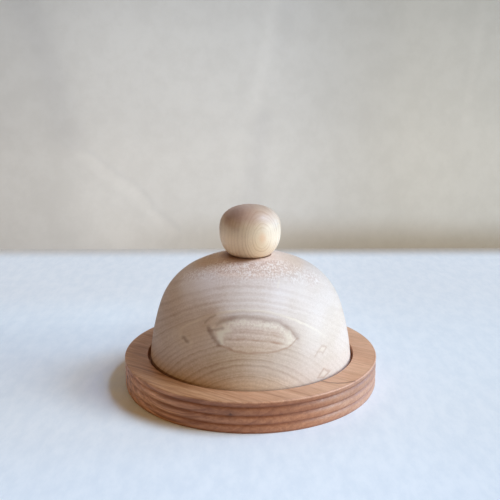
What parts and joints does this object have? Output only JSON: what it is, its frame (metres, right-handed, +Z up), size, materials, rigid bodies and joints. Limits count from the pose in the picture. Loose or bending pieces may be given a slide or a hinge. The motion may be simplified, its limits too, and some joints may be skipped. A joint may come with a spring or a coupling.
{
  "type": "butter dish",
  "caption": "Turned wooden butter dish: a round beaded plate with a shallow recess, and a hollow domed cloche with a ball knob that lifts off.",
  "frame": {"origin": "centre of the plate's underside, on the surface it stands on", "axes": "+Z up, along the axis that every piece is turned about; the object is round, so +X and +Y are free"},
  "size_m": [0.152, 0.152, 0.1078],
  "materials": {
    "cherry_plate": "reddish brown turned wood, fine grain, satin oiled",
    "maple_cloche": "pale turned wood with faint growth rings, matte oiled",
    "maple_knob": "pale turned wood, end grain rings, satin oiled",
    "beech_dowel": "bare beech pin, fluted"
  },
  "bodies": {
    "plate": {"plate": "cherry_plate"},
    "cover": {"cloche": "maple_cloche", "knob": "maple_knob", "knob_dowel": "beech_dowel"}
  },
  "joints": [
    {"name": "cover_lift", "type": "slide", "parent": "plate", "child": "cover", "axis": [0, 0, 1], "range_m": [0, 0.1]}
  ]
}
